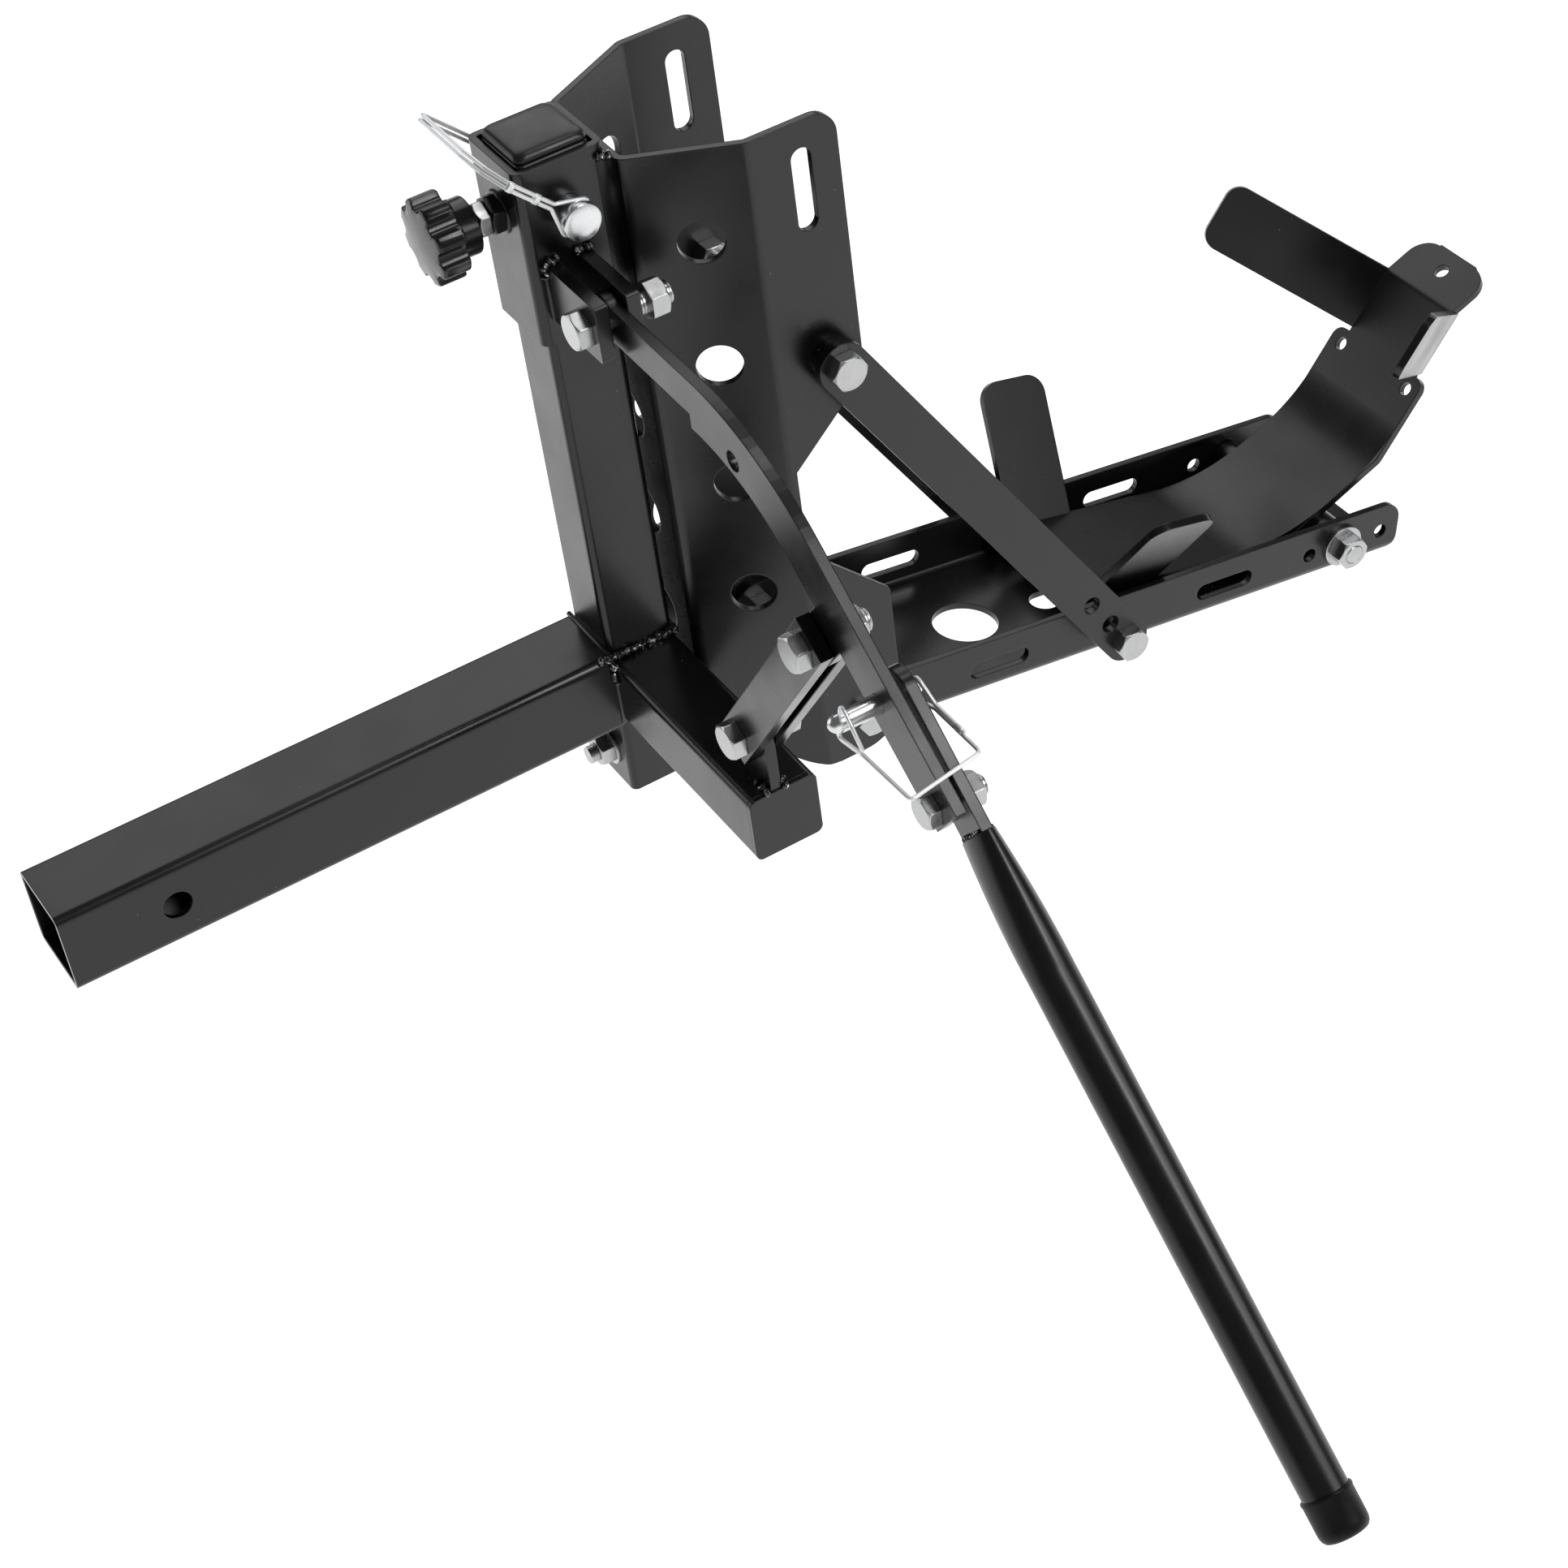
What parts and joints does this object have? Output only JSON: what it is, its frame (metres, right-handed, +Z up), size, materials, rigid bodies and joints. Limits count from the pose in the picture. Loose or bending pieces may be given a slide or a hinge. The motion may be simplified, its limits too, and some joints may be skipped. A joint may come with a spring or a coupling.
{
  "type": "hitch motorcycle carrier",
  "caption": "Hitch-mounted motorcycle carrier: square hitch bar with an upright post, a carriage levered up the post, a braced wheel tray and a rocking wheel chock.",
  "frame": {"origin": "centre of the hitch pin hole in the hitch bar", "axes": "+X away from the vehicle along the hitch bar, +Y across the carrier away from the lever, +Z up"},
  "size_m": [0.9234, 0.713, 0.474],
  "materials": {
    "black_coat": "satin black powder coat",
    "zinc": "bright zinc plate",
    "plastic": "matt moulded black",
    "rubber": "matt black"
  },
  "bodies": {
    "base": {"hitch_bar": "black_coat", "post": "black_coat", "post_cap": "plastic", "cross_tube": "black_coat", "cross_tube_end": "black_coat", "link_tab": "black_coat", "guide_bolt": "zinc", "guide_washer": "zinc", "guide_nut": "zinc"},
    "carriage": {"sleeve": "black_coat", "lever_lug_front": "black_coat", "lever_lug_rear": "black_coat", "back_plate": "black_coat", "tray": "black_coat", "brace_near": "black_coat", "brace_far": "black_coat", "brace_spacers": "black_coat", "brace_bolts": "zinc", "brace_nuts": "zinc", "tray_bolts": "zinc", "tray_nuts": "zinc", "lever_bolt": "zinc", "lever_nut": "zinc", "knob_weld_nut": "black_coat", "axle_bolt": "zinc", "axle_washers": "zinc", "axle_nut": "zinc"},
    "knob": {"clamp_knob": "plastic", "knob_stud": "zinc", "knob_jam_nut": "zinc"},
    "lock_pin": {"lock_pin_near": "zinc", "lock_pin_far": "zinc", "lock_pin_bail": "zinc"},
    "lever": {"lever": "black_coat", "handle_tongue": "black_coat", "handle_tube": "black_coat", "handle_cap": "rubber", "handle_washer": "zinc", "handle_bolt": "zinc", "handle_nut": "zinc"},
    "handle_pin": {"handle_pin": "zinc", "handle_pin_bail": "zinc"},
    "links": {"link_front": "black_coat", "link_rear": "black_coat", "link_low_bolt": "zinc", "link_low_nut": "zinc", "link_top_bolt": "zinc", "link_top_nut": "zinc"},
    "chock": {"chock_plate": "black_coat", "chock_tube": "black_coat"}
  },
  "joints": [
    {"name": "carriage_lift", "type": "slide", "parent": "base", "child": "carriage", "axis": [0, 0, 1], "range_m": [-0.07, 0]},
    {"name": "lever_swing", "type": "hinge", "parent": "carriage", "child": "lever", "pos_m": [0.283, -0.0595, 0.256], "axis": [1, 0, 0], "range_deg": [-16.5, 0.1]},
    {"name": "link_swing", "type": "hinge", "parent": "base", "child": "links", "pos_m": [0.283, -0.152, 0.054], "axis": [1, 0, 0], "range_deg": [-0.1, 10.4]},
    {"name": "chock_tilt", "type": "hinge", "parent": "carriage", "child": "chock", "pos_m": [0.72398, 0, -0.11081], "axis": [0, 1, 0], "range_deg": [0, 30]},
    {"name": "knob_turn", "type": "hinge", "parent": "carriage", "child": "knob", "pos_m": [0.23, 0, 0.296], "axis": [1, 0, 0], "continuous": true},
    {"name": "lock_pin_turn", "type": "hinge", "parent": "carriage", "child": "lock_pin", "pos_m": [0.283, 0, 0.299], "axis": [0, 1, 0], "range_deg": [-18, 75]},
    {"name": "handle_pin_turn", "type": "hinge", "parent": "lever", "child": "handle_pin", "pos_m": [0.283, -0.28943, 0.16562], "axis": [-1, 0, 0], "range_deg": [0, 100]}
  ],
  "couplings": [
    {"joint": "lever_swing", "follows": "carriage_lift", "rad_per_m": 4.091},
    {"joint": "link_swing", "follows": "carriage_lift", "rad_per_m": -2.56}
  ]
}
